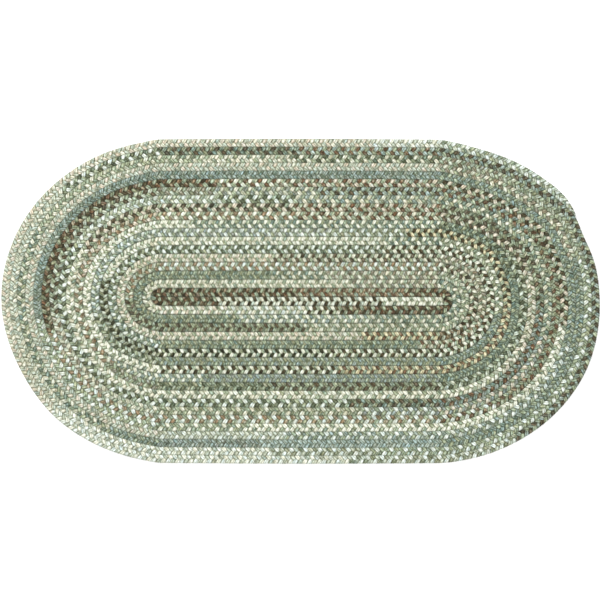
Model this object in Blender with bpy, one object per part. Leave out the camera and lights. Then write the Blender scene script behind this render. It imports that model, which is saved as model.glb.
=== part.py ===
"""Oval braided rug: two long flat braids, coiled and laced edge to edge into one flat mat.

The first braid starts in the middle and winds outward, clockwise seen from above. Where it
tapers out, at the lower left, the second braid has already been butted in, and it winds on to
the rim, where its tail tapers out at the upper right. Every row of the coil is a ridge with a
flat crest, on the face and on the underside, with a groove where two rows are laced.

Metres, +Z up, +X along the rug. The origin is on the floor under the middle of the mat.
"""

import math
from collections import namedtuple

import bmesh
import bpy

# Driving sizes, in metres.
STRAIGHT_LENGTH = 0.571    # from one end's turning centre to the other's
START_ROW_WIDTH = 0.0184   # the straight row in the middle
MIDDLE_ROW_WIDTH = 0.0179  # the rows next to it
RIM_ROW_WIDTH = 0.0161     # the outermost row, pulled narrower
THICKNESS = 0.009          # one braid lying flat
GROOVE_DEPTH = 0.0026      # from a crest down to the lacing
STRAIGHT_BOW = 0.0015      # how far the long sides bulge between the ends

# Shares of a row's width.
CREST_SHARE = 0.52

# Rows are counted in slots, outward from the middle. The first braid fills the slots up to
# the join slot and the second braid those from the join slot on.
SLOTS = 20
JOIN_SLOT = 10

# Facets of each round end. The rows inside the join slot turn tighter and take half as many.
END_STEPS = 24
SIDE_STEPS = 3
MERGE_DISTANCE = 0.00001

# How far the rim reaches from each end's turning centre. Angles in degrees, from +X.
Reach = namedtuple("Reach", "angle distance")
LEFT_REACH = [
    Reach(angle=90, distance=0.3208),
    Reach(angle=100, distance=0.3150),
    Reach(angle=125, distance=0.3132),
    Reach(angle=145, distance=0.3165),
    Reach(angle=165, distance=0.3206),
    Reach(angle=182, distance=0.3226),
    Reach(angle=208, distance=0.3200),
    Reach(angle=230, distance=0.3247),
    Reach(angle=247, distance=0.3275),
    Reach(angle=262, distance=0.3326),
    Reach(angle=270, distance=0.3380),
]
RIGHT_REACH = [
    Reach(angle=-90, distance=0.3296),
    Reach(angle=-78, distance=0.3267),
    Reach(angle=-60, distance=0.3263),
    Reach(angle=-45, distance=0.3284),
    Reach(angle=-25, distance=0.3302),
    Reach(angle=0, distance=0.3263),
    Reach(angle=13, distance=0.3257),
    Reach(angle=26, distance=0.3222),
    Reach(angle=34, distance=0.3302),
    Reach(angle=41, distance=0.3328),
    Reach(angle=50, distance=0.3277),
    Reach(angle=70, distance=0.3210),
    Reach(angle=80, distance=0.3222),
    Reach(angle=90, distance=0.3292),
]

# Where a braid is tapered: its row has no width at one angle and its full width at the other.
Taper = namedtuple("Taper", "end slot gone full")
TAPERS = [
    Taper(end="left", slot=JOIN_SLOT, gone=222, full=250),
    Taper(end="right", slot=JOIN_SLOT, gone=44, full=30),
    Taper(end="right", slot=SLOTS, gone=28, full=44),
]

# The left end turns about the edge of the start row, the right end about its middle, so that
# the rows gain one row's width in each full turn.
LEFT_CENTRE = (-STRAIGHT_LENGTH / 2, START_ROW_WIDTH / 2)
RIGHT_CENTRE = (STRAIGHT_LENGTH / 2, 0.0)


def smooth_step(share):
    """Ease a share from 0 to 1 with level ends."""
    share = min(max(share, 0.0), 1.0)
    return share * share * (3 - 2 * share)


def curve_through(table, angle):
    """Read a table of reaches at any angle, on a smooth curve through its rows."""
    last = len(table) - 2
    index = 0
    while index < last and angle > table[index + 1].angle:
        index += 1
    before = table[max(index - 1, 0)]
    start = table[index]
    stop = table[index + 1]
    after = table[min(index + 2, last + 1)]
    span = stop.angle - start.angle
    start_slope = (stop.distance - before.distance) / (stop.angle - before.angle) * span
    stop_slope = (after.distance - start.distance) / (after.angle - start.angle) * span
    t = (angle - start.angle) / span
    return (
        (2 * t**3 - 3 * t**2 + 1) * start.distance
        + (t**3 - 2 * t**2 + t) * start_slope
        + (3 * t**2 - 2 * t**3) * stop.distance
        + (t**3 - t**2) * stop_slope
    )


def taper_share(end, slot, angle):
    """Share of its full width that a slot has at an angle: 1 where no braid is tapered."""
    for taper in TAPERS:
        if taper.end == end and taper.slot == slot:
            return smooth_step((angle - taper.gone) / (taper.full - taper.gone))
    return 1.0


def row_width(end, slot, angle):
    """Width of a slot before the rows of a station are fitted to the rim."""
    rows_out = slot - 1 if slot < JOIN_SLOT else slot - 2
    share_out = rows_out / (SLOTS - 2)
    width = MIDDLE_ROW_WIDTH + (RIM_ROW_WIDTH - MIDDLE_ROW_WIDTH) * share_out
    if end == "left" and slot == 1:
        share_start = smooth_step((angle - 180) / 90)
        width += (START_ROW_WIDTH - width) * share_start
    return width * taper_share(end, slot, angle)


def slot_edges(end, angle):
    """Distances of the row edges from an end's centre: SLOTS + 1 of them, outward."""
    core = 0.0 if end == "left" else START_ROW_WIDTH / 2
    reach = curve_through(LEFT_REACH if end == "left" else RIGHT_REACH, angle)
    widths = [row_width(end, slot, angle) for slot in range(1, SLOTS + 1)]
    fit = (reach - core) / sum(widths)
    edges = [core]
    for width in widths:
        edges.append(edges[-1] + width * fit)
    return edges


def profile(edges, shares):
    """Offsets and half heights across the rows of one station: edge, crest, crest, edge."""
    half = THICKNESS / 2
    groove = half - GROOVE_DEPTH
    rim = edges[-1]
    heights = [groove * min((rim - edge) / RIM_ROW_WIDTH, 1.0) for edge in edges]
    points = []
    for slot, share in enumerate(shares, start=1):
        inner, outer = edges[slot - 1], edges[slot]
        valley = (heights[slot - 1] + heights[slot]) / 2
        crest = valley + (half - valley) * share
        shoulder = (1 - CREST_SHARE) / 2 * (outer - inner)
        points.append((inner, heights[slot - 1]))
        points.append((inner + shoulder, crest))
        points.append((outer - shoulder, crest))
    points.append((rim, heights[-1]))
    return points


def end_column(end, angle):
    """Points of one station of a round end: x, y and half height, outward."""
    centre = LEFT_CENTRE if end == "left" else RIGHT_CENTRE
    turn = math.radians(angle)
    shares = [taper_share(end, slot, angle) for slot in range(1, SLOTS + 1)]
    return [
        (centre[0] + offset * math.cos(turn), centre[1] + offset * math.sin(turn), height)
        for offset, height in profile(slot_edges(end, angle), shares)
    ]


def side_columns(left_edges, right_edges, shares, direction):
    """Points of the stations of a long side, from the left end to the right end."""
    base = START_ROW_WIDTH / 2
    columns = []
    for step in range(SIDE_STEPS + 1):
        along = step / SIDE_STEPS
        bulge = 1 + STRAIGHT_BOW / left_edges[-1] * math.sin(math.pi * along)
        edges = [
            (left + (right - left) * along) * bulge
            for left, right in zip(left_edges, right_edges)
        ]
        x = LEFT_CENTRE[0] + STRAIGHT_LENGTH * along
        columns.append([
            (x, base + direction * offset, height)
            for offset, height in profile(edges, shares)
        ])
    return columns


def rug_columns():
    """Stations of the left end, the upper side, the right end and the lower side."""
    step = 180 / END_STEPS
    left = [end_column("left", 90 + step * index) for index in range(END_STEPS + 1)]
    right = [end_column("right", step * index - 90) for index in range(END_STEPS + 1)]

    core = START_ROW_WIDTH / 2
    upper_right = [edge - core for edge in slot_edges("right", 90)]
    upper_shares = [0.0 if slot == JOIN_SLOT else 1.0 for slot in range(1, SLOTS + 1)]
    upper = side_columns(slot_edges("left", 90), upper_right, upper_shares, 1)

    # A row of the right end enters the next slot out on its way along the lower side.
    lower_right = [0.0] + [edge + core for edge in slot_edges("right", -90)[:-1]]
    lower = side_columns(slot_edges("left", 270), lower_right, [1.0] * SLOTS, -1)
    return left, upper, right, lower


def end_faces(columns):
    """Faces between the stations of a round end, coarser inside the join slot."""
    coarse_lines = 3 * (JOIN_SLOT - 1) - 1
    faces = []
    for index in range(0, END_STEPS, 2):
        first, middle, last = columns[index], columns[index + 1], columns[index + 2]
        for line in range(3 * SLOTS):
            if line < coarse_lines:
                faces.append([first[line], last[line], last[line + 1], first[line + 1]])
            elif line == coarse_lines:
                faces.append([first[line], last[line], last[line + 1], middle[line + 1],
                              first[line + 1]])
            else:
                faces.append([first[line], middle[line], middle[line + 1], first[line + 1]])
                faces.append([middle[line], last[line], last[line + 1], middle[line + 1]])
    return faces


def side_faces(columns):
    """Faces between the stations of a long side."""
    return [
        [first[line], last[line], last[line + 1], first[line + 1]]
        for first, last in zip(columns, columns[1:])
        for line in range(3 * SLOTS)
    ]


def nose_faces(right, lower):
    """Faces of the start row's blunt round end, inside the first row that wraps it."""
    groove = [column[0] for column in right[::2]]
    middle = len(groove) // 2
    upper_crest, lower_crest = lower[-1][1], lower[-1][2]
    faces = [[upper_crest, lower_crest, groove[middle]]]
    for index in range(middle):
        faces.append([lower_crest, groove[index], groove[index + 1]])
        faces.append([upper_crest, groove[middle + index], groove[middle + index + 1]])
    return faces


def rug_mesh():
    """Mesh of the whole mat: the face, and the underside as its mirror image."""
    left, upper, right, lower = rug_columns()
    faces = end_faces(left) + side_faces(upper) + end_faces(right) + side_faces(lower)
    faces += nose_faces(right, lower)

    rim = [column[-1] for column in left + upper + right + lower]
    middle_x = (min(point[0] for point in rim) + max(point[0] for point in rim)) / 2
    middle_y = (min(point[1] for point in rim) + max(point[1] for point in rim)) / 2

    bm = bmesh.new()
    for side in (1, -1):
        for face in faces:
            bm.faces.new([
                bm.verts.new((x - middle_x, y - middle_y, THICKNESS / 2 + side * height))
                for x, y, height in face
            ])
    bmesh.ops.remove_doubles(bm, verts=bm.verts, dist=MERGE_DISTANCE)
    bmesh.ops.triangulate(bm, faces=bm.faces)
    bmesh.ops.recalc_face_normals(bm, faces=bm.faces)
    mesh = bpy.data.meshes.new("rug")
    bm.to_mesh(mesh)
    bm.free()
    return mesh


def yarn_material():
    """Matte mixed yarn: the sage, cream and brown of the strands taken together."""
    material = bpy.data.materials.new("braid_yarn")
    material.use_nodes = True
    shader = material.node_tree.nodes["Principled BSDF"]
    shader.inputs["Base Color"].default_value = (0.34, 0.35, 0.27, 1.0)
    shader.inputs["Roughness"].default_value = 0.92
    shader.inputs["Metallic"].default_value = 0.0
    return material


def add_rug():
    """The laced mat, with its yarn material."""
    mesh = rug_mesh()
    mesh.shade_smooth()
    mesh.set_sharp_from_angle(angle=math.radians(50))
    mesh.materials.append(yarn_material())
    rug = bpy.data.objects.new("rug", mesh)
    bpy.context.scene.collection.objects.link(rug)


for old_object in list(bpy.data.objects):
    bpy.data.objects.remove(old_object, do_unlink=True)
add_rug()
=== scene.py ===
"""Oval braided rug, dressed: two long flat braids of mixed yarn, coiled and laced edge to edge.

Metres, +Z up, +X along the rug, the origin on the floor under the middle of the mat. Laps are
counted outward from the straight start row. A lap runs clockwise seen from above: along the
lower side to the left, round the left end, along the upper side and round the right end.
"""

import math
from collections import namedtuple

import bmesh
import bpy
import numpy as np
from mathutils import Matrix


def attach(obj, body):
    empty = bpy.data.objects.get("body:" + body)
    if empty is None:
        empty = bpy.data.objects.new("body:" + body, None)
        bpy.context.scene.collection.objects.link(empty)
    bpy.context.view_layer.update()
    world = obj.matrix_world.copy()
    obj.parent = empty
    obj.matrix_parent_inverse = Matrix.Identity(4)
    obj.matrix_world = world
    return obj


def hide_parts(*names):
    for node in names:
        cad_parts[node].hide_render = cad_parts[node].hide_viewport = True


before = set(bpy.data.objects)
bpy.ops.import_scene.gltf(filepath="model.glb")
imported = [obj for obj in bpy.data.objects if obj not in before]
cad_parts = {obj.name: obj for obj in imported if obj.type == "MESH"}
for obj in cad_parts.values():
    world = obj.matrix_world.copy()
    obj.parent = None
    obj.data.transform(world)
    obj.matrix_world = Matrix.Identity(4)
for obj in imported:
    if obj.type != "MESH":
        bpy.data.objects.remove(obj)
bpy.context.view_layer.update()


# ---------------------------------------------------------------------------------------------
# Inner braid. Three fat strands of mixed wool yarn, plaited flat and wound on edge to edge
# from the straight start row. Its tail tapers out at the lower left, nine and a bit laps out.
# ---------------------------------------------------------------------------------------------

# The mat's course, as in the part's source.
STRAIGHT_LENGTH = 0.571
START_ROW_WIDTH = 0.0184
MIDDLE_ROW_WIDTH = 0.0179
RIM_ROW_WIDTH = 0.0161
THICKNESS = 0.009
STRAIGHT_BOW = 0.0015
SLOTS = 20
JOIN_SLOT = 10
LEFT_CENTRE = (-STRAIGHT_LENGTH / 2, START_ROW_WIDTH / 2)
RIGHT_CENTRE = (STRAIGHT_LENGTH / 2, 0.0)

# How far the rim reaches from each end's turning centre. Angles in degrees, from +X.
Reach = namedtuple("Reach", "angle distance")
LEFT_REACH = [
    Reach(angle=90, distance=0.3208),
    Reach(angle=100, distance=0.3150),
    Reach(angle=125, distance=0.3132),
    Reach(angle=145, distance=0.3165),
    Reach(angle=165, distance=0.3206),
    Reach(angle=182, distance=0.3226),
    Reach(angle=208, distance=0.3200),
    Reach(angle=230, distance=0.3247),
    Reach(angle=247, distance=0.3275),
    Reach(angle=262, distance=0.3326),
    Reach(angle=270, distance=0.3380),
]
RIGHT_REACH = [
    Reach(angle=-90, distance=0.3296),
    Reach(angle=-78, distance=0.3267),
    Reach(angle=-60, distance=0.3263),
    Reach(angle=-45, distance=0.3284),
    Reach(angle=-25, distance=0.3302),
    Reach(angle=0, distance=0.3263),
    Reach(angle=13, distance=0.3257),
    Reach(angle=26, distance=0.3222),
    Reach(angle=34, distance=0.3302),
    Reach(angle=41, distance=0.3328),
    Reach(angle=50, distance=0.3277),
    Reach(angle=70, distance=0.3210),
    Reach(angle=80, distance=0.3222),
    Reach(angle=90, distance=0.3292),
]

# Where a braid is tapered: its row has no width at one angle and its full width at the other.
Taper = namedtuple("Taper", "end slot gone full")
TAPERS = [
    Taper(end="left", slot=JOIN_SLOT, gone=222, full=250),
    Taper(end="right", slot=JOIN_SLOT, gone=44, full=30),
    Taper(end="right", slot=SLOTS, gone=28, full=44),
]


def smooth_step(share):
    """Ease a share from 0 to 1 with level ends."""
    share = min(max(share, 0.0), 1.0)
    return share * share * (3 - 2 * share)


def curve_through(table, angle):
    """Read a table of reaches at any angle, on a smooth curve through its rows."""
    last = len(table) - 2
    index = 0
    while index < last and angle > table[index + 1].angle:
        index += 1
    before = table[max(index - 1, 0)]
    start = table[index]
    stop = table[index + 1]
    after = table[min(index + 2, last + 1)]
    span = stop.angle - start.angle
    start_slope = (stop.distance - before.distance) / (stop.angle - before.angle) * span
    stop_slope = (after.distance - start.distance) / (after.angle - start.angle) * span
    t = (angle - start.angle) / span
    return (
        (2 * t**3 - 3 * t**2 + 1) * start.distance
        + (t**3 - 2 * t**2 + t) * start_slope
        + (3 * t**2 - 2 * t**3) * stop.distance
        + (t**3 - t**2) * stop_slope
    )


def row_width(end, slot, angle):
    """Width of a row's slot at an end, before the slots there are fitted to the rim."""
    rows_out = slot - 1 if slot < JOIN_SLOT else slot - 2
    width = MIDDLE_ROW_WIDTH + (RIM_ROW_WIDTH - MIDDLE_ROW_WIDTH) * rows_out / (SLOTS - 2)
    if end == "left" and slot == 1:
        width += (START_ROW_WIDTH - width) * smooth_step((angle - 180) / 90)
    for taper in TAPERS:
        if taper.end == end and taper.slot == slot:
            width *= smooth_step((angle - taper.gone) / (taper.full - taper.gone))
    return width


def slot_edges(end, angle):
    """Distances of the row edges from an end's centre: SLOTS + 1 of them, outward."""
    core = 0.0 if end == "left" else START_ROW_WIDTH / 2
    reach = curve_through(LEFT_REACH if end == "left" else RIGHT_REACH, angle)
    widths = [row_width(end, slot, angle) for slot in range(1, SLOTS + 1)]
    fit = (reach - core) / sum(widths)
    return core + np.cumsum([0.0] + widths) * fit


# The edges of every slot along the four legs of a lap: stations, edges, x and y.
END_STATIONS = 181
SIDE_STATIONS = 61


def end_leg(end, angles):
    """Row edges at the stations of a round end."""
    centre = LEFT_CENTRE if end == "left" else RIGHT_CENTRE
    legs = []
    for angle in angles:
        turn = math.radians(angle)
        distances = slot_edges(end, angle)
        legs.append(np.stack([
            centre[0] + distances * math.cos(turn), centre[1] + distances * math.sin(turn)
        ], axis=1))
    return np.array(legs)


def side_leg(left_edges, right_edges, direction, shares):
    """Row edges at the stations of a long side."""
    legs = []
    for along in shares:
        bulge = 1 + STRAIGHT_BOW / left_edges[-1] * math.sin(math.pi * along)
        distances = (left_edges + (right_edges - left_edges) * along) * bulge
        legs.append(np.stack([
            np.full(SLOTS + 1, LEFT_CENTRE[0] + STRAIGHT_LENGTH * along),
            START_ROW_WIDTH / 2 + direction * distances,
        ], axis=1))
    return np.array(legs)


core = START_ROW_WIDTH / 2
upper_right = slot_edges("right", 90) - core
# A row of the right end enters the next slot out on its way along the lower side.
lower_right = np.concatenate([[0.0], slot_edges("right", -90)[:-1] + core])
leg_edges = [
    side_leg(slot_edges("left", 270), lower_right, -1, np.linspace(1, 0, SIDE_STATIONS)),
    end_leg("left", np.linspace(270, 90, END_STATIONS)),
    side_leg(slot_edges("left", 90), upper_right, 1, np.linspace(0, 1, SIDE_STATIONS)),
    end_leg("right", np.linspace(90, -90, END_STATIONS)),
]

# The part's source centres the mat on its rim, so the course is moved by the same amount.
rim = np.concatenate([leg[:, -1] for leg in leg_edges])
middle = (rim.min(axis=0) + rim.max(axis=0)) / 2

Course = namedtuple("Course", "length place along width lap")
COURSE_STEP = 0.0015       # spacing of the points that follow a braid
LEAST_WIDTH = 0.0020       # where a tapered tail is cut and tucked in
NOSE_LENGTH = 0.0086       # how far the start row runs on into its blunt round end
NOSE_GAP = 0.0008          # from that end's last point to the row's own first one
NOSE_POINTS = 9
EASING = np.array([1, 4, 6, 4, 1]) / 16
EASING_ROUNDS = 3
TAU = 2 * math.pi


def course_of(first_lap, last_lap):
    """Middle line of a braid between two laps: its length so far, place, heading and width."""
    places, widths, laps = [], [], []
    for slot in range(int(first_lap), SLOTS + 1):
        for index, leg in enumerate(leg_edges):
            inner, outer = leg[:, slot - 1] - middle, leg[:, slot] - middle
            places.append(((inner + outer) / 2)[:-1])
            widths.append(np.linalg.norm(outer - inner, axis=1)[:-1])
            laps.append((slot + (index + np.linspace(0, 1, len(leg))) / 4)[:-1])
    places, widths, laps = map(np.concatenate, (places, widths, laps))
    kept = (laps >= first_lap) & (laps <= last_lap) & (widths > LEAST_WIDTH)
    places, widths, laps = places[kept], widths[kept], laps[kept]
    if first_lap == 1:
        ahead = np.linspace(NOSE_LENGTH, NOSE_GAP, NOSE_POINTS)
        places = np.concatenate([places[0] + np.outer(ahead, (1, 0)), places])
        full = widths[0]
        widths = np.concatenate([full * np.sqrt(1 - (ahead / (full / 2)) ** 2), widths])
        laps = np.concatenate([np.full(NOSE_POINTS, laps[0]), laps])

    # Evenly spaced, and eased over the joints between the legs.
    gaps = np.linalg.norm(np.diff(places, axis=0), axis=1)
    lengths = np.concatenate([[0.0], np.cumsum(gaps)])
    even = np.linspace(0, lengths[-1], int(lengths[-1] / COURSE_STEP))
    place = np.stack([np.interp(even, lengths, places[:, axis]) for axis in (0, 1)], axis=1)
    for _ in range(EASING_ROUNDS):
        place[2:-2] = np.stack(
            [np.convolve(place[:, axis], EASING, mode="valid") for axis in (0, 1)], axis=1)
    along = np.gradient(place, axis=0)
    along /= np.linalg.norm(along, axis=1)[:, None]
    return Course(
        length=even,
        place=place,
        along=along,
        width=np.interp(even, lengths, widths),
        lap=np.interp(even, lengths, laps),
    )


# A strand: its half thickness, and how it turns as it goes over and under. Its phase grows by
# a full turn in each repeat of the plait.
HALF_THICKNESS = 0.0023
FULL_WIDTH = 0.0150        # a row narrower than this squeezes its strands
SQUEEZE = 0.6              # how fast they thin out there: 1 is as fast as the row
EDGE_TURN = 2.2            # how sharply a strand turns on edge at the braid's sides
SLASH = 0.93               # how straight it runs from the middle to the side: 1 is a zigzag
CREST = 0.85               # below 1 it keeps to the crest for longer
NUDGE = 0.0005             # how far it presses into the next row
SQUARENESS = 0.86          # below 1 the section is fuller at its corners
SIDES = 8                  # faces round a strand
HEADING_STEP = 0.06        # of phase, each way, to find which way it heads

# How far an uneven hand changes the plait's repeat, and over how many metres, and how far the
# strands' breadth, swing and height change from wrap to wrap.
REPEAT_CHANGE = 0.035
REPEAT_RUN = 0.06
BREADTH_CHANGE = 0.05
SWING_CHANGE = 0.03
HEIGHT_CHANGE = 0.05

# Where the rings of a strand lie in each half turn, in degrees: closer at the braid's sides.
INNER_RINGS = (0, 48, 76, 104, 132)

Braid = namedtuple("Braid", "name course repeat half_width rings splices seed")


def wander(rng, phase, spacing):
    """Smooth random change between -1 and 1 along a strand."""
    turns = (phase - phase[0]) / spacing
    nodes = rng.uniform(-1, 1, int(turns[-1]) + 3)
    index = turns.astype(int)
    share = turns - index
    share = share * share * (3 - 2 * share)
    return nodes[index] * (1 - share) + nodes[index + 1] * share


def braid_phase(braid):
    """Phase of the plait at each point of the course, with an uneven hand."""
    rng = np.random.default_rng(braid.seed)
    uneven = 1 + REPEAT_CHANGE * wander(rng, braid.course.length, REPEAT_RUN)
    step = np.diff(braid.course.length, prepend=0.0)
    return np.cumsum(step / (braid.repeat * uneven)) * TAU


def strand_rings(braid, number):
    """Rings of points round one of a braid's three strands, with each ring's phase and lap."""
    course = braid.course
    plait = braid_phase(braid)
    shift = TAU * number / 3
    halves = np.arange(-1, int(plait[-1] / math.pi) + 2)
    phase = (halves[:, None] * math.pi + np.radians(braid.rings)).ravel()
    phase = phase[(phase > plait[0] + shift) & (phase < plait[-1] + shift)]
    length = np.interp(phase - shift, plait, course.length)

    rng = np.random.default_rng(braid.seed * 10 + number)
    width = np.interp(length, course.length, course.width)
    size = np.minimum(width / FULL_WIDTH, 1.0) ** SQUEEZE
    plump = 1 + BREADTH_CHANGE * wander(rng, phase, math.pi / 2)
    thick = HALF_THICKNESS * size
    broad = braid.half_width * size * plump
    reach = np.maximum(width / 2 - thick + NUDGE, 0.0)
    reach *= 1 + SWING_CHANGE * wander(rng, phase, math.pi / 3)
    rise = (THICKNESS / 2 - HALF_THICKNESS) * size
    rise *= 1 - HEIGHT_CHANGE * (1 + wander(rng, phase, math.pi / 2))

    def line_at(phase):
        """The strand's middle line, and which way is outward from the braid there."""
        length = np.interp(phase - shift, plait, course.length)
        x, y, ahead_x, ahead_y = (
            np.interp(length, course.length, values)
            for values in (*course.place.T, *course.along.T)
        )
        norm = np.hypot(ahead_x, ahead_y)
        outward = np.stack([-ahead_y / norm, ahead_x / norm, np.zeros(len(phase))], axis=1)
        across = reach * np.arcsin(SLASH * np.sin(phase)) / math.asin(SLASH)
        swing = np.sin(2 * phase)
        height = THICKNESS / 2 + rise * np.sign(swing) * np.abs(swing) ** CREST
        return np.stack([x, y, height], axis=1) + across[:, None] * outward, outward

    place, outward = line_at(phase)
    forward = line_at(phase + HEADING_STEP)[0] - line_at(phase - HEADING_STEP)[0]
    forward /= np.linalg.norm(forward, axis=1)[:, None]
    upward = np.array([0.0, 0.0, 1.0])

    # The strand's flat faces up on the face of the braid and outward where it wraps its side.
    tilt = math.pi / 2 * np.tanh(EDGE_TURN * np.cos(phase)) / math.tanh(EDGE_TURN)
    flat = np.cos(tilt)[:, None] * outward + np.sin(tilt)[:, None] * upward
    flat -= np.sum(flat * forward, axis=1)[:, None] * forward
    flat /= np.linalg.norm(flat, axis=1)[:, None]
    side = np.cross(forward, flat)

    turn = np.arange(SIDES) * TAU / SIDES
    round_flat = np.sign(np.cos(turn)) * np.abs(np.cos(turn)) ** SQUARENESS
    round_side = np.sign(np.sin(turn)) * np.abs(np.sin(turn)) ** SQUARENESS
    rings = (
        place[:, None]
        + flat[:, None] * (thick[:, None] * round_flat)[:, :, None]
        + side[:, None] * (broad[:, None] * round_side)[:, :, None]
    )
    rings[:, :, 2] = np.clip(rings[:, :, 2], 0.0, THICKNESS)
    return rings, phase, np.interp(length, course.length, course.lap)


# The yarns, as they look in daylight: red, green and blue from 0 to 255. Each strand is spun
# from a main yarn and flecks of a second one.
Yarn = namedtuple("Yarn", "main fleck")
YARNS = {
    "ivory": Yarn((224, 227, 209), (204, 208, 187)),
    "white": Yarn((216, 224, 213), (191, 202, 192)),
    "cream": Yarn((211, 212, 191), (184, 188, 165)),
    "straw": Yarn((210, 204, 168), (187, 180, 146)),
    "peach": Yarn((204, 196, 176), (184, 188, 168)),
    "pale_sage": Yarn((187, 196, 176), (154, 164, 146)),
    "sage": Yarn((160, 172, 143), (127, 139, 119)),
    "moss": Yarn((127, 136, 109), (153, 160, 136)),
    "sky": Yarn((166, 181, 170), (136, 154, 142)),
    "blue_grey": Yarn((148, 162, 150), (121, 137, 125)),
    "teal": Yarn((112, 129, 113), (138, 153, 135)),
    "dark_green": Yarn((86, 94, 71), (113, 124, 100)),
    "black_green": Yarn((50, 51, 31), (71, 75, 51)),
    "umber": Yarn((69, 63, 41), (97, 92, 68)),
    "walnut": Yarn((83, 77, 58), (108, 102, 83)),
    "chestnut": Yarn((103, 82, 60), (144, 136, 111)),
    "taupe": Yarn((134, 129, 108), (152, 153, 134)),
    "rose": Yarn((141, 123, 96), (164, 158, 133)),
    "lavender": Yarn((147, 158, 146), (123, 132, 122)),
}

# Where a strand's yarn is spliced to the next one: the lap, and the yarns of the three strands
# from there on.
Splice = namedtuple("Splice", "lap yarns")
INNER_SPLICES = [
    Splice(1.00, "ivory ivory sage"),
    Splice(1.05, "ivory umber pale_sage"),
    Splice(1.20, "chestnut umber sage"),
    Splice(1.62, "rose chestnut sage"),
    Splice(1.72, "chestnut umber sage"),
    Splice(2.09, "ivory umber sage"),
    Splice(2.12, "white cream sage"),
    Splice(2.19, "ivory peach sage"),
    Splice(2.25, "cream cream sage"),
    Splice(2.67, "cream taupe sage"),
    Splice(2.75, "cream teal sage"),
    Splice(3.06, "ivory blue_grey sage"),
    Splice(3.18, "teal moss sage"),
    Splice(3.60, "cream teal moss"),
    Splice(3.65, "cream taupe sage"),
    Splice(3.75, "cream sage sage"),
    Splice(4.00, "cream moss sage"),
    Splice(4.12, "moss walnut sage"),
    Splice(4.37, "pale_sage rose moss"),
    Splice(4.50, "white rose sage"),
    Splice(4.75, "cream walnut sage"),
    Splice(4.89, "peach umber sage"),
    Splice(4.95, "rose umber pale_sage"),
    Splice(5.00, "straw chestnut sage"),
    Splice(5.07, "peach cream sage"),
    Splice(5.60, "walnut cream sage"),
    Splice(5.75, "taupe cream moss"),
    Splice(5.90, "chestnut cream sage"),
    Splice(6.02, "teal moss sage"),
    Splice(6.25, "teal white sage"),
    Splice(6.37, "dark_green white sage"),
    Splice(6.70, "umber ivory sage"),
    Splice(7.10, "black_green ivory sage"),
    Splice(7.25, "black_green pale_sage moss"),
    Splice(7.40, "ivory cream sage"),
    Splice(7.70, "ivory teal sage"),
    Splice(7.75, "ivory moss sage"),
    Splice(7.89, "blue_grey teal sage"),
    Splice(8.00, "blue_grey moss sage"),
    Splice(8.25, "pale_sage dark_green sage"),
    Splice(8.35, "white blue_grey sage"),
    Splice(8.50, "white lavender sage"),
    Splice(8.65, "white moss sage"),
    Splice(8.72, "straw umber sage"),
    Splice(8.88, "straw chestnut sage"),
    Splice(9.09, "ivory umber sage"),
    Splice(9.25, "ivory ivory sage"),
    Splice(9.53, "ivory teal sage"),
    Splice(9.75, "teal dark_green sage"),
    Splice(9.85, "teal teal sage"),
    Splice(10.00, "lavender blue_grey sage"),
    Splice(10.21, "ivory blue_grey sage"),
]


def daylight(colour):
    """Linear colour of a yarn that is given from 0 to 255."""
    share = np.array(colour) / 255
    return np.where(share > 0.04045, ((share + 0.055) / 1.055) ** 2.4, share / 12.92)


TONE_CHANGE = 0.14         # how far the dye wanders from wrap to wrap
LIGHT_STEADINESS = 0.8     # how much less a light dye wanders than a dark one
BRIGHTEST_DYE = 0.95


def yarn_colours(braid, number, phase, lap):
    """Main and fleck colour of a strand at each ring. No two wraps are dyed quite alike."""
    laps = [splice.lap for splice in braid.splices]
    names = [splice.yarns.split()[number] for splice in braid.splices]
    which = np.clip(np.searchsorted(laps, lap, side="right") - 1, 0, len(names) - 1)
    rng = np.random.default_rng(braid.seed * 10 + number + 500)
    tone = TONE_CHANGE * wander(rng, phase, math.pi / 2)
    tables = []
    for kind in ("main", "fleck"):
        dyes = np.array([daylight(getattr(YARNS[name], kind)) for name in names])[which]
        dyes = dyes * (1 + (1 - LIGHT_STEADINESS * dyes[:, 1]) * tone)[:, None]
        tables.append(np.clip(dyes, 0.0, BRIGHTEST_DYE))
    return tables


CM_A_METRE = 100           # the run of the yarns is in centimetres
ROUND_STRAND = 2.0         # centimetres round a strand
TIP_RUN = 0.2              # centimetres of its run on a closed end
ROW_MARGIN = 0.04          # share of a row of the bake's map that is left free on each side


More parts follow.
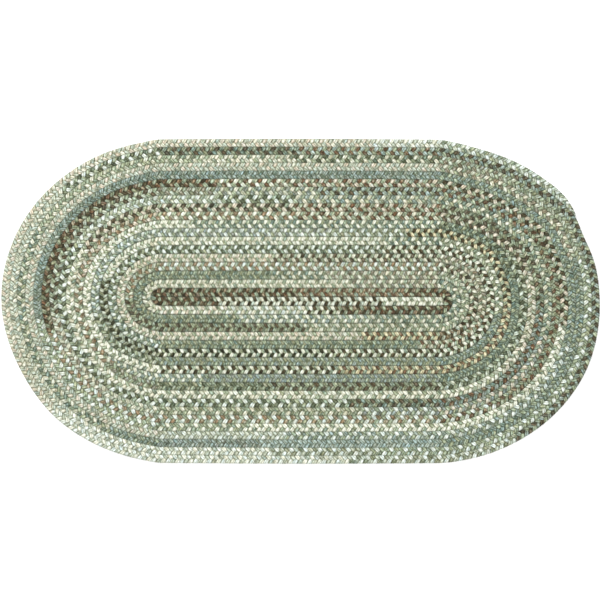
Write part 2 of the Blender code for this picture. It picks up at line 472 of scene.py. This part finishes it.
def strand_mesh(braid, number):
    """Closed tube of one strand, with its yarn colours and the run of its yarns."""
    rings, phase, lap = strand_rings(braid, number)
    count = len(rings)
    points = rings.reshape(-1, 3)
    tips = np.stack([rings[0].mean(axis=0), rings[-1].mean(axis=0)])
    points = np.concatenate([points, tips])

    ring, side = np.meshgrid(np.arange(count - 1), np.arange(SIDES), indexing="ij")
    ring, side = ring.ravel(), side.ravel()
    after = (side + 1) % SIDES
    quads = np.stack([
        ring * SIDES + side, ring * SIDES + after,
        (ring + 1) * SIDES + after, (ring + 1) * SIDES + side,
    ], axis=1)
    quad_rings = np.stack([ring, ring, ring + 1, ring + 1], axis=1)
    quad_turn = np.stack([side, side + 1, side + 1, side], axis=1) / SIDES

    # A bent quad is cut from its first corner, so it starts at its shorter diagonal.
    first_cut = np.linalg.norm(points[quads[:, 0]] - points[quads[:, 2]], axis=1)
    second_cut = np.linalg.norm(points[quads[:, 1]] - points[quads[:, 3]], axis=1)
    turned = second_cut < first_cut
    for table in (quads, quad_rings, quad_turn):
        table[turned] = np.roll(table[turned], -1, axis=1)

    corner = np.arange(SIDES)
    start_tip, end_tip = count * SIDES, count * SIDES + 1
    start_fan = np.stack([(corner + 1) % SIDES, corner, np.full(SIDES, start_tip)], axis=1)
    end_fan = (count - 1) * SIDES + np.stack([corner, (corner + 1) % SIDES, corner], axis=1)
    end_fan[:, 2] = end_tip

    corners = np.concatenate([quads.ravel(), start_fan.ravel(), end_fan.ravel()])
    sizes = np.concatenate([np.full(len(quads), 4), np.full(2 * SIDES, 3)])
    mesh = bpy.data.meshes.new(f"{braid.name}_strand_{number + 1}")
    mesh.vertices.add(len(points))
    mesh.vertices.foreach_set("co", points.ravel())
    mesh.loops.add(len(corners))
    mesh.loops.foreach_set("vertex_index", corners)
    mesh.polygons.add(len(sizes))
    mesh.polygons.foreach_set("loop_start", np.concatenate([[0], np.cumsum(sizes)[:-1]]))
    mesh.polygons.foreach_set("loop_total", sizes)
    mesh.polygons.foreach_set("use_smooth", np.ones(len(sizes), bool))
    mesh.update(calc_edges=True)

    # The run of the yarns: centimetres along the strand, and turns round it.
    middles = rings.mean(axis=1)
    run = np.concatenate([[0.0], np.cumsum(np.linalg.norm(np.diff(middles, axis=0), axis=1))])
    run *= CM_A_METRE
    quad_run = run[quad_rings]
    fan_run = np.concatenate([
        np.tile([run[0], run[0], run[0] - TIP_RUN], SIDES),
        np.tile([run[-1], run[-1], run[-1] + TIP_RUN], SIDES),
    ])
    fan_turn = np.concatenate([
        np.stack([corner + 1, corner, corner + 0.5], axis=1).ravel(),
        np.stack([corner, corner + 1, corner + 0.5], axis=1).ravel(),
    ]) / SIDES
    yarn_run = mesh.uv_layers.new(name="yarn_run")
    yarn_run.uv.foreach_set("vector", np.stack([
        np.concatenate([quad_run.ravel(), fan_run]),
        np.concatenate([quad_turn.ravel(), fan_turn]),
    ], axis=1).ravel())

    # The same run cut into rows that fill the square, for a bake of the finish.
    rows = round(math.sqrt(run[-1] / ROUND_STRAND))
    rings_a_row = math.ceil((count - 1) / rows)
    row_starts = run[:-1:rings_a_row]
    row_room = np.max(np.append(row_starts[1:], run[-1]) - row_starts) + 4 * TIP_RUN
    row = np.concatenate([
        np.repeat(ring // rings_a_row, 4), np.zeros(3 * SIDES, int),
        np.full(3 * SIDES, len(row_starts) - 1),
    ])
    in_row = np.concatenate([quad_run.ravel(), fan_run]) - row_starts[row] + 2 * TIP_RUN
    turns = np.concatenate([quad_turn.ravel(), fan_turn])
    bake = mesh.uv_layers.new(name="OFBake")
    bake.uv.foreach_set("vector", np.stack([
        in_row / row_room,
        (row + ROW_MARGIN + (1 - 2 * ROW_MARGIN) * turns) / len(row_starts),
    ], axis=1).ravel())

    # Where in its wrap each point lies, and the dyes there.
    wrap = mesh.attributes.new(name="wrap", type="FLOAT", domain="POINT")
    wrap.data.foreach_set("value", np.concatenate([
        np.repeat(phase, SIDES), phase[:1], phase[-1:]]))
    for name, colours in zip(("yarn", "fleck"), yarn_colours(braid, number, phase, lap)):
        painted = np.concatenate([np.repeat(colours, SIDES, axis=0), colours[:1], colours[-1:]])
        opaque = np.ones((len(painted), 1))
        paint = mesh.color_attributes.new(name=name, type="FLOAT_COLOR", domain="POINT")
        paint.data.foreach_set("color", np.concatenate([painted, opaque], axis=1).ravel())
    return mesh


class Signal:
    """A socket of a material, on which arithmetic adds Math nodes."""

    def __init__(self, finish, socket):
        self.finish = finish
        self.socket = socket

    def maths(self, operation, *values):
        sockets = dict(enumerate(values))
        return self.finish.node("ShaderNodeMath", {"operation": operation}, sockets)["Value"]

    def __add__(self, other):
        return self.maths("ADD", self, other)

    def __sub__(self, other):
        return self.maths("SUBTRACT", self, other)

    def __rsub__(self, other):
        return self.maths("SUBTRACT", other, self)

    def __mul__(self, other):
        return self.maths("MULTIPLY", self, other)

    def __pow__(self, other):
        return self.maths("POWER", self, other)

    def __mod__(self, other):
        return self.maths("FLOORED_MODULO", self, other)

    __radd__ = __add__
    __rmul__ = __mul__


class Finish:
    """A material and its nodes."""

    def __init__(self, name):
        self.material = bpy.data.materials.new(name)
        self.material.use_nodes = True
        self.nodes = self.material.node_tree.nodes
        self.links = self.material.node_tree.links
        self.shader = self.nodes["Principled BSDF"]

    def plug(self, node, sockets):
        """Give a node's sockets their values or links, by name or by number."""
        for key, value in sockets.items():
            if isinstance(key, int):
                socket = node.inputs[key]
            else:
                socket = next(s for s in node.inputs if s.enabled and s.name == key)
            if isinstance(value, Signal):
                self.links.new(value.socket, socket)
            else:
                socket.default_value = value

    def node(self, kind, settings=None, sockets=None):
        """Add a node. Its results are given by name."""
        node = self.nodes.new(kind)
        for name, value in (settings or {}).items():
            setattr(node, name, value)
        self.plug(node, sockets or {})
        return {s.name: Signal(self, s) for s in node.outputs if s.enabled}

    def mix(self, share, first, second, blend="MIX"):
        """Blend two colours."""
        settings = {"data_type": "RGBA", "blend_type": blend}
        sockets = {"Factor": share, "A": first, "B": second}
        return self.node("ShaderNodeMix", settings, sockets)["Result"]


YARNS_ROUND = 5            # yarns side by side round a strand
YARN_LAY = 0.35            # how far they slant, in yarns per centimetre
PLY_TWISTS = 3.4           # twists of the plies in each yarn, per centimetre
PLY_SLANT = 1.1            # how far a ply slants across its yarn, in twists
WARM_CHANGE = 0.28         # how far a dark yarn's hue wanders between warm and cool,
TWEED_CHANGE = 1.30        # and how far its tone does
GAP_SHADE = 0.26           # painted shade in the gaps between the yarns,
DARK_GAP_SHADE = 0.52      # and how much more of it in a dark dye
PLY_SHADE = 0.27           # painted shade between the plies
FUZZ_SHADE = 0.80          # spread of tone in the fuzz
MIDDLE_SHADE = 0.60       # painted shade where a strand dives in the middle of the braid,
SIDE_SHADE = 0.25         # where it rounds the side,
WRAP_SHADE = 0.97         # and where it lies against the next wrap
MIDDLE_CLOSENESS = 8       # the higher, the closer each of the three keeps to its place
SIDE_CLOSENESS = 7
WRAP_CLOSENESS = 4.5
BLUE_LOSS = 1.25           # above 1 the painted shade on the yarn looks yellower,
BLUE_GAIN = 1.08           # and this keeps the middle tones as they are


def yarn_finish():
    """Matte wool-blend yarn: parallel plied yarns with flecks and fuzz, and painted shade in
    the gaps between them and where the wraps touch.
    """
    finish = Finish("braid_yarn")
    run = finish.node("ShaderNodeUVMap", {"uv_map": "yarn_run"})["UV"]
    run = finish.node("ShaderNodeSeparateXYZ", sockets={"Vector": run})
    along, around = run["X"], run["Y"]
    lay = around * YARNS_ROUND + along * YARN_LAY
    inside = lay.maths("FRACT", lay)
    index = lay.maths("FLOOR", lay) % YARNS_ROUND

    # Height across one yarn, from the gap at each side to its crown, and along its plies.
    across = inside * 2 - 1
    gap = across * across
    crown = (1 - gap) ** 0.5
    twist = along * PLY_TWISTS + inside * PLY_SLANT
    ply = (twist.maths("SINE", twist * TAU) * 0.5 + 0.5) ** 0.6

    def along_yarns(a_centimetre, apart):
        """Noise that runs along each yarn, from 0 to 1 and unlike its neighbours'."""
        place = finish.node("ShaderNodeCombineXYZ", sockets={
            "X": along * a_centimetre, "Y": index * apart, "Z": 0.0})["Vector"]
        noise = finish.node("ShaderNodeTexNoise", {"noise_dimensions": "2D"}, {
            "Vector": place, "Scale": 1.0, "Detail": 2.0, "Roughness": 0.6})["Fac"]
        return finish.node("ShaderNodeMapRange", {}, {
            "Value": noise, "From Min": 0.30, "From Max": 0.70})["Result"]

    spot = finish.node("ShaderNodeTexCoord")["Object"]
    fuzz = finish.node("ShaderNodeTexNoise", {}, {
        "Vector": spot, "Scale": 1500.0, "Detail": 3.0, "Roughness": 0.7})["Fac"]

    yarn = finish.node("ShaderNodeAttribute", {"attribute_name": "yarn"})["Color"]
    fleck = finish.node("ShaderNodeAttribute", {"attribute_name": "fleck"})["Color"]
    share = finish.node("ShaderNodeMapRange", {"interpolation_type": "SMOOTHSTEP"}, {
        "Value": along_yarns(a_centimetre=0.9, apart=3.7),
        "From Min": 0.40, "From Max": 0.80})["Result"]
    colour = finish.mix(share, yarn, fleck)

    # Heathered: the darker the dye, the more each yarn differs from its neighbours. The gaps
    # between the yarns get painted shade, deeper in a darker dye, and the plies get painted
    # shade between them.
    depth = 1 - finish.node("ShaderNodeSeparateColor", sockets={"Color": colour})["Green"]
    warm = (along_yarns(a_centimetre=0.45, apart=5.1) - 0.5) * WARM_CHANGE * depth
    tweed = 1 + (along_yarns(a_centimetre=2.0, apart=7.3) - 0.5) * TWEED_CHANGE * depth
    shade = 1 - gap * (GAP_SHADE + depth * DARK_GAP_SHADE)
    shade = shade * (1 - PLY_SHADE + ply * PLY_SHADE)
    shade = shade * (1 - FUZZ_SHADE / 2 + fuzz * FUZZ_SHADE) * tweed

    # Painted shade at the contacts between the wraps, where less daylight reaches, tinted
    # yellower the darker it is.
    phase = finish.node("ShaderNodeAttribute", {"attribute_name": "wrap"})["Fac"]
    swing = phase.maths("SINE", phase)
    aside = swing * swing
    edge = around.maths("SINE", around * TAU)
    middle_shade = MIDDLE_SHADE * (1 - aside) ** MIDDLE_CLOSENESS
    shade = shade * (1 - middle_shade - SIDE_SHADE * aside ** SIDE_CLOSENESS)
    shade = shade * (1 - WRAP_SHADE * (edge * edge) ** WRAP_CLOSENESS)
    shade = finish.node("ShaderNodeCombineColor", sockets={
        "Red": shade * (1 + warm), "Green": shade,
        "Blue": shade ** BLUE_LOSS * (BLUE_GAIN - warm)})["Color"]
    colour = finish.mix(1.0, colour, shade, blend="MULTIPLY")
    height = crown * (0.70 + ply * 0.22) + fuzz * 0.16
    bump = finish.node("ShaderNodeBump", sockets={
        "Strength": 1.0, "Distance": 0.0009, "Height": height})["Normal"]
    finish.plug(finish.shader, {
        "Base Color": colour,
        "Roughness": 0.84 + fuzz * 0.14,
        "Normal": bump,
        "Specular IOR Level": 0.25,
        "Sheen Weight": 0.06,
        "Sheen Roughness": 0.5,
    })
    return finish.material


def add_braid(braid):
    """The three strands of a braid."""
    strands = []
    for number in range(3):
        mesh = strand_mesh(braid, number)
        mesh.materials.append(yarn)
        strand = bpy.data.objects.new(mesh.name, mesh)
        bpy.context.scene.collection.objects.link(strand)
        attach(strand, "root")
        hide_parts("rug")
        strands.append(strand)
    return strands


yarn = yarn_finish()
inner_braid = Braid(
    name="inner", course=course_of(first_lap=1, last_lap=10.5), repeat=0.0225,
    half_width=0.0038, rings=INNER_RINGS, splices=INNER_SPLICES, seed=11,
)
inner_strands = add_braid(inner_braid)


# ---------------------------------------------------------------------------------------------
# Outer braid. Fatter, more slackly plaited strands of the same yarns, butted in at the right
# end against the tenth lap of the inner braid, and wound on to the rim.
# ---------------------------------------------------------------------------------------------

OUTER_RINGS = (0, 42, 72, 90, 108, 138)
OUTER_SPLICES = [
    Splice(10.80, "pale_sage dark_green sage"),
    Splice(11.00, "moss walnut sage"),
    Splice(11.15, "sage dark_green moss"),
    Splice(11.25, "moss taupe sage"),
    Splice(11.30, "ivory rose sage"),
    Splice(11.39, "peach rose sage"),
    Splice(11.50, "ivory rose sage"),
    Splice(11.62, "cream chestnut sage"),
    Splice(11.75, "peach walnut moss"),
    Splice(11.85, "cream peach moss"),
    Splice(11.94, "cream ivory sage"),
    Splice(12.42, "walnut peach sage"),
    Splice(12.62, "chestnut peach sage"),
    Splice(12.75, "walnut moss sage"),
    Splice(12.88, "chestnut lavender teal"),
    Splice(13.00, "walnut teal moss"),
    Splice(13.08, "white dark_green sage"),
    Splice(13.42, "white pale_sage sage"),
    Splice(13.55, "white dark_green sage"),
    Splice(13.62, "cream blue_grey sage"),
    Splice(13.75, "cream teal sage"),
    Splice(13.90, "peach lavender sage"),
    Splice(14.00, "white lavender sage"),
    Splice(14.07, "cream moss sage"),
    Splice(14.25, "cream pale_sage sage"),
    Splice(14.29, "cream taupe pale_sage"),
    Splice(14.36, "pale_sage walnut sage"),
    Splice(14.50, "pale_sage taupe moss"),
    Splice(14.55, "cream lavender sage"),
    Splice(14.64, "sky walnut sage"),
    Splice(14.75, "blue_grey chestnut sage"),
    Splice(14.82, "moss chestnut sage"),
    Splice(14.96, "white chestnut sage"),
    Splice(15.00, "white rose sage"),
    Splice(15.35, "chestnut umber moss"),
    Splice(15.50, "chestnut umber sage"),
    Splice(15.55, "ivory chestnut sage"),
    Splice(15.62, "peach chestnut sage"),
    Splice(15.75, "peach umber sage"),
    Splice(15.89, "ivory ivory sage"),
    Splice(16.17, "ivory sage sage"),
    Splice(16.25, "white sage sage"),
    Splice(16.36, "teal blue_grey blue_grey"),
    Splice(16.75, "teal blue_grey sage"),
    Splice(16.90, "white blue_grey sage"),
    Splice(17.14, "white pale_sage pale_sage"),
    Splice(17.25, "peach pale_sage pale_sage"),
    Splice(17.75, "cream taupe sage"),
    Splice(17.85, "teal blue_grey sage"),
    Splice(18.00, "sky blue_grey sky"),
    Splice(18.16, "blue_grey lavender blue_grey"),
    Splice(18.25, "teal blue_grey sage"),
    Splice(18.28, "cream teal sage"),
    Splice(18.42, "cream sage sage"),
    Splice(18.54, "cream cream sage"),
    Splice(18.62, "cream dark_green sage"),
    Splice(18.75, "pale_sage taupe sage"),
    Splice(18.79, "pale_sage moss sage"),
    Splice(18.85, "white sage sage"),
    Splice(19.06, "white pale_sage moss"),
    Splice(19.15, "white ivory pale_sage"),
    Splice(19.30, "cream pale_sage pale_sage"),
    Splice(19.44, "white dark_green sage"),
    Splice(19.50, "teal walnut moss"),
    Splice(19.62, "sky chestnut sage"),
    Splice(19.75, "blue_grey walnut sage"),
    Splice(19.96, "white moss pale_sage"),
    Splice(20.08, "ivory white pale_sage"),
    Splice(20.31, "cream peach pale_sage"),
    Splice(20.69, "white ivory pale_sage"),
    Splice(20.75, "white pale_sage sage"),
]

outer_braid = Braid(
    name="outer", course=course_of(first_lap=10.76, last_lap=20.9), repeat=0.0290,
    half_width=0.0045, rings=OUTER_RINGS, splices=OUTER_SPLICES, seed=23,
)
outer_strands = add_braid(outer_braid)


# ---------------------------------------------------------------------------------------------
# Lacing. One waxed thread that spirals along the groove between two rows and draws them
# together, passing through the edge loop of each in turn. Only short slanting stitches show.
# ---------------------------------------------------------------------------------------------

THREAD_RADIUS = 0.00042
THREAD_SIDES = 4
STITCH_ACROSS = 0.0017     # how far a stitch reaches into the rows on each side
STITCH_RISE = 0.0021       # how far it stands above and below the middle of the mat
STITCH_STEPS = 4

# The lap at which the next row out has run out, and with it the lacing of each braid.
INNER_LACED_TO = 10.3
OUTER_LACED_TO = 19.82


def lacing_mesh(name, course, pitch, last_lap):
    """Tube that spirals along the outer edge of a braid."""
    laced = course.lap <= last_lap
    count = int(course.length[laced][-1] / pitch * STITCH_STEPS)
    length = np.arange(count) * pitch / STITCH_STEPS

    def at_rings(values):
        return np.interp(length, course.length, values)

    along = np.stack([at_rings(course.along[:, 0]), at_rings(course.along[:, 1])], axis=1)
    outward = np.stack([-along[:, 1], along[:, 0]], axis=1)
    turn = np.arange(count) * TAU / STITCH_STEPS
    across = at_rings(course.width) / 2 + STITCH_ACROSS * np.cos(turn)
    place = np.stack([at_rings(course.place[:, 0]), at_rings(course.place[:, 1])], axis=1)
    place += across[:, None] * outward
    line = np.column_stack([place, THICKNESS / 2 + STITCH_RISE * np.sin(turn)])

    forward = np.gradient(line, axis=0)
    forward /= np.linalg.norm(forward, axis=1)[:, None]
    side = np.cross(forward, (0.0, 0.0, 1.0))
    side /= np.linalg.norm(side, axis=1)[:, None]
    top = np.cross(side, forward)
    angle = np.arange(THREAD_SIDES) * TAU / THREAD_SIDES
    rings = (
        line[:, None]
        + side[:, None] * (THREAD_RADIUS * np.cos(angle))[None, :, None]
        + top[:, None] * (THREAD_RADIUS * np.sin(angle))[None, :, None]
    )
    bm = bmesh.new()
    rows = [[bm.verts.new(point) for point in ring] for ring in rings]
    for before, after in zip(rows, rows[1:]):
        for index in range(THREAD_SIDES):
            following = (index + 1) % THREAD_SIDES
            bm.faces.new([before[index], before[following], after[following], after[index]])
    bm.faces.new(rows[0][::-1])
    bm.faces.new(rows[-1])
    bmesh.ops.recalc_face_normals(bm, faces=bm.faces)
    mesh = bpy.data.meshes.new(name)
    bm.to_mesh(mesh)
    bm.free()
    mesh.shade_smooth()
    return mesh


def thread_finish():
    """Waxed grey-green thread with a fine twist."""
    finish = Finish("lacing_thread")
    spot = finish.node("ShaderNodeTexCoord")["Object"]
    grain = finish.node("ShaderNodeTexNoise", {}, {
        "Vector": spot, "Scale": 2200.0, "Detail": 1.0})["Fac"]
    colour = finish.mix(grain, (0.16, 0.18, 0.12, 1.0), (0.30, 0.32, 0.24, 1.0))
    bump = finish.node("ShaderNodeBump", sockets={
        "Strength": 0.5, "Distance": 0.0002, "Height": grain})["Normal"]
    finish.plug(finish.shader, {
        "Base Color": colour, "Roughness": 0.62 + grain * 0.2, "Normal": bump})
    return finish.material


thread = thread_finish()
for braid, last_lap in ((inner_braid, INNER_LACED_TO), (outer_braid, OUTER_LACED_TO)):
    pitch = braid.repeat * 2 / 3    # three stitches to two repeats of the plait
    mesh = lacing_mesh(f"{braid.name}_lacing", braid.course, pitch, last_lap)
    mesh.materials.append(thread)
    lacing = bpy.data.objects.new(mesh.name, mesh)
    bpy.context.scene.collection.objects.link(lacing)
    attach(lacing, "root")
    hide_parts("rug")


# ---------------------------------------------------------------------------------------------
# Shade sheet. A thin dark layer inside the mat, midway through its thickness: painted shade
# that shows only as the dark between the wraps. It is the mat's one continuous layer.
# ---------------------------------------------------------------------------------------------

SHEET_BOTTOM = 0.0039
SHEET_TOP = 0.0051
SHEET_INSET = 0.0045


def shade_sheet_mesh():
    """Thin closed layer inside the rim."""
    outline = rim - middle
    ahead = np.roll(outline, -1, axis=0) - np.roll(outline, 1, axis=0)
    ahead /= np.linalg.norm(ahead, axis=1)[:, None]
    outline = outline + SHEET_INSET * np.stack([ahead[:, 1], -ahead[:, 0]], axis=1)
    bm = bmesh.new()
    low = [bm.verts.new((x, y, SHEET_BOTTOM)) for x, y in outline]
    high = [bm.verts.new((x, y, SHEET_TOP)) for x, y in outline]
    bm.faces.new(low)
    bm.faces.new(high)
    for index, (point, top) in enumerate(zip(low, high)):
        after = (index + 1) % len(low)
        bm.faces.new([point, low[after], high[after], top])
    bmesh.ops.remove_doubles(bm, verts=bm.verts, dist=0.00005)
    bmesh.ops.recalc_face_normals(bm, faces=bm.faces)
    mesh = bpy.data.meshes.new("dark_shade_sheet")
    bm.to_mesh(mesh)
    bm.free()
    return mesh


def shade_sheet_finish():
    """Dark, dull, felt-textured sheet: painted shade for the gaps between the wraps."""
    finish = Finish("dark_shade_sheet")
    spot = finish.node("ShaderNodeTexCoord")["Object"]
    felt = finish.node("ShaderNodeTexNoise", {}, {
        "Vector": spot, "Scale": 420.0, "Detail": 4.0, "Roughness": 0.7})["Fac"]
    # Dark olive: painted shade between the wraps.
    colour = finish.mix(felt, (0.035, 0.038, 0.022, 1.0), (0.11, 0.12, 0.075, 1.0))
    bump = finish.node("ShaderNodeBump", sockets={
        "Strength": 0.6, "Distance": 0.0006, "Height": felt})["Normal"]
    finish.plug(finish.shader, {
        "Base Color": colour, "Roughness": 0.9 + felt * 0.08, "Normal": bump})
    return finish.material


mesh = shade_sheet_mesh()
mesh.materials.append(shade_sheet_finish())
shade_sheet = bpy.data.objects.new("dark_shade_sheet", mesh)
bpy.context.scene.collection.objects.link(shade_sheet)
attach(shade_sheet, "root")
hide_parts("rug")


# ---------------------------------------------------------------------------------------------
# Studio: a plain pale floor, soft light from above, and the camera straight above the mat.
# ---------------------------------------------------------------------------------------------

FLOOR_SIZE = 8.0
FLOOR_DROP = 0.0004        # keeps it clear of the mat's underside
SKY_STRENGTH = 1.21

bpy.ops.object.select_all(action="DESELECT")
bpy.ops.mesh.primitive_plane_add(size=FLOOR_SIZE, location=(0.0, 0.0, -FLOOR_DROP))
floor = bpy.context.object
floor.name = "floor"
pale = Finish("pale_floor")
pale.plug(pale.shader, {"Base Color": (0.93, 0.93, 0.93, 1.0), "Roughness": 0.9})
floor.data.materials.append(pale.material)

world = bpy.data.worlds.new("studio")
world.use_nodes = True
sky = world.node_tree.nodes["Background"]
sky.inputs["Color"].default_value = (1.0, 1.0, 1.0, 1.0)
sky.inputs["Strength"].default_value = SKY_STRENGTH
bpy.context.scene.world = world

Lamp = namedtuple("Lamp", "name place size power")
LAMPS = [
    Lamp("key_light", place=(-1.3, 1.6, 2.3), size=1.2, power=67),
    Lamp("fill_light", place=(1.6, -1.4, 2.4), size=1.8, power=23.5),
]
for lamp in LAMPS:
    bpy.ops.object.light_add(type="AREA", location=lamp.place)
    light = bpy.context.object
    light.name = lamp.name
    light.data.size = lamp.size
    light.data.energy = lamp.power
    towards = -light.location
    light.rotation_euler = towards.to_track_quat("-Z", "Y").to_euler()

CAMERA_PLACE = (-0.001, 0.0025, 4.5)    # the mat lies a little off the picture's middle
VIEW_WIDTH = 1.2252        # the width that the camera takes in at the mat
SENSOR_WIDTH = 36.0
bpy.ops.object.camera_add(location=CAMERA_PLACE, rotation=(0.0, 0.0, 0.0))
camera = bpy.context.object
camera.name = "camera"
camera.data.sensor_width = SENSOR_WIDTH
camera.data.lens = SENSOR_WIDTH * CAMERA_PLACE[2] / VIEW_WIDTH
bpy.context.scene.camera = camera
bpy.context.scene.view_settings.view_transform = "Standard"
